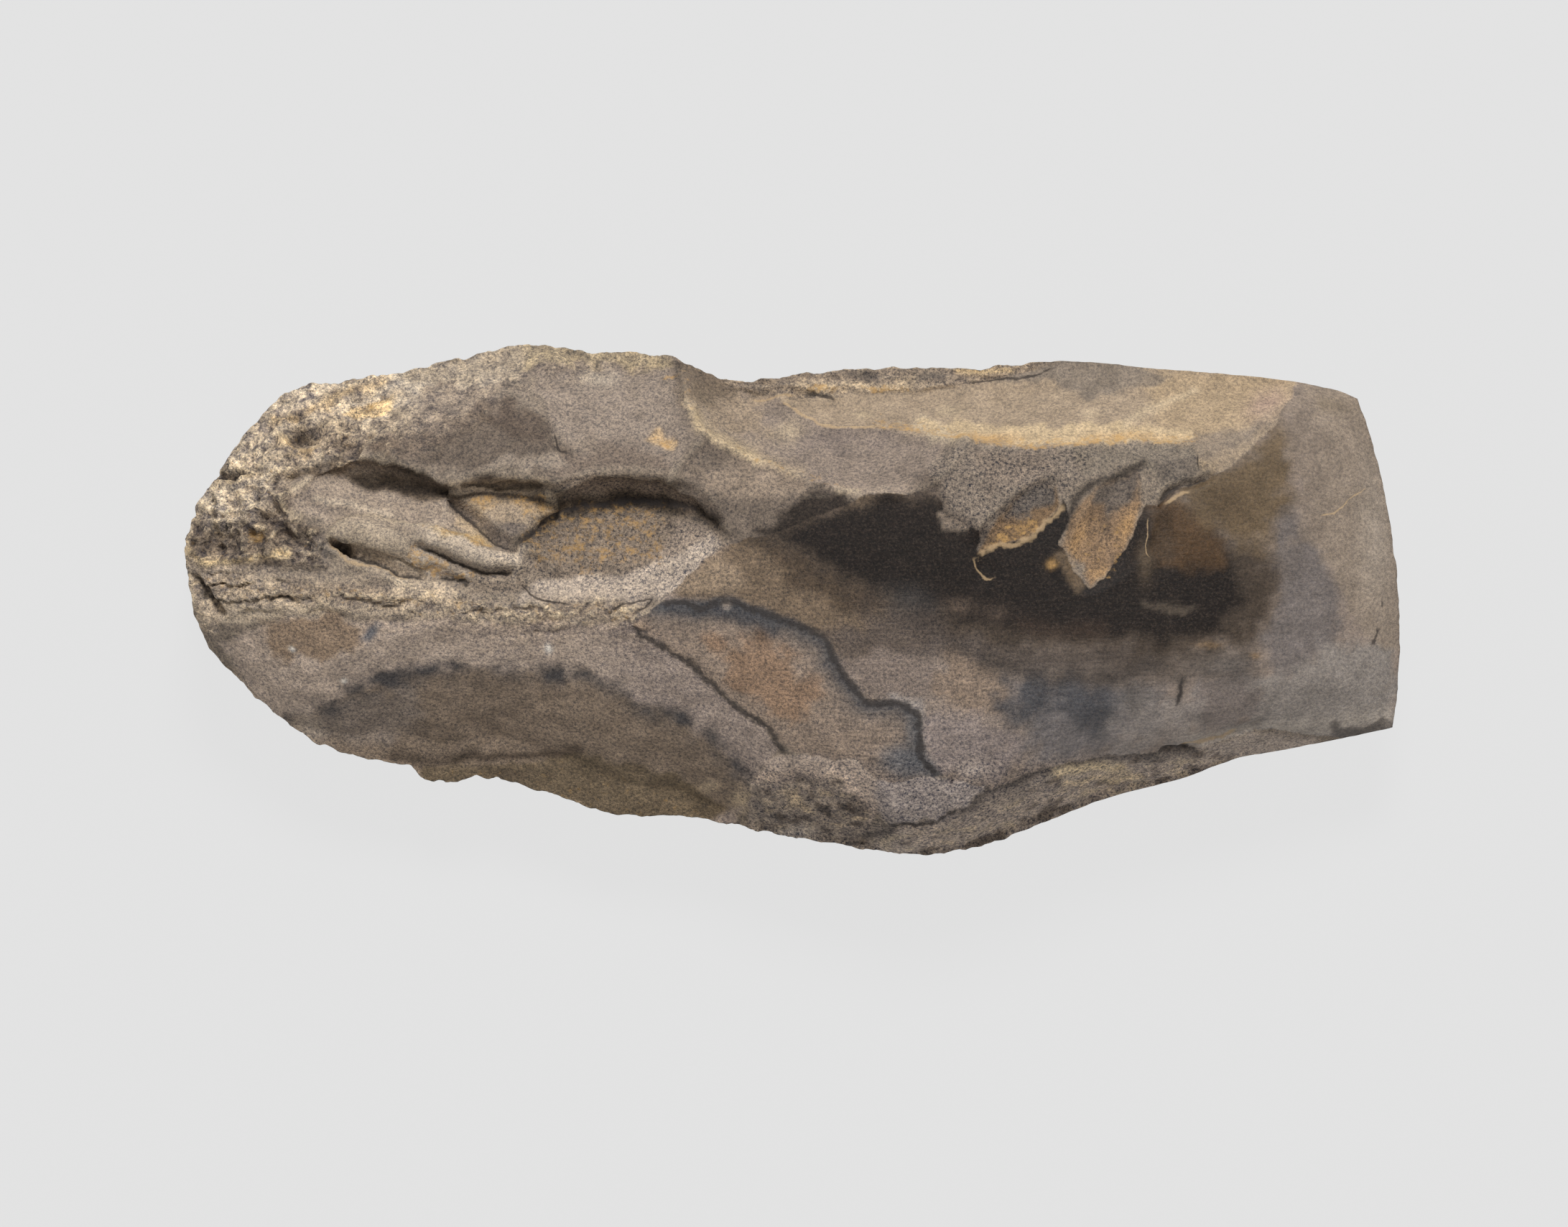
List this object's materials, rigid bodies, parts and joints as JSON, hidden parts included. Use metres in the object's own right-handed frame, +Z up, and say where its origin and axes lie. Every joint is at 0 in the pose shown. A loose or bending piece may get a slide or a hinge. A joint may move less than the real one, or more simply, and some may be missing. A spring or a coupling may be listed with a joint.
{
  "type": "stone axe head",
  "caption": "Flaked and partly ground stone axe head with a curved cutting edge and a rough butt, lying on its broad face.",
  "frame": {"origin": "middle of the ground that the axe head covers, at the height of its rest facet", "axes": "+X towards the cutting edge, +Y across the broad face, +Z up out of the upper broad face"},
  "size_m": [0.1398, 0.059, 0.0289],
  "materials": {
    "chert": "grey-brown chert: ground smooth on the broad face and bit, matt in the flake scars, rough and cream-speckled at the butt"
  },
  "bodies": {
    "root": {"axe_head": "chert"}
  },
  "joints": []
}
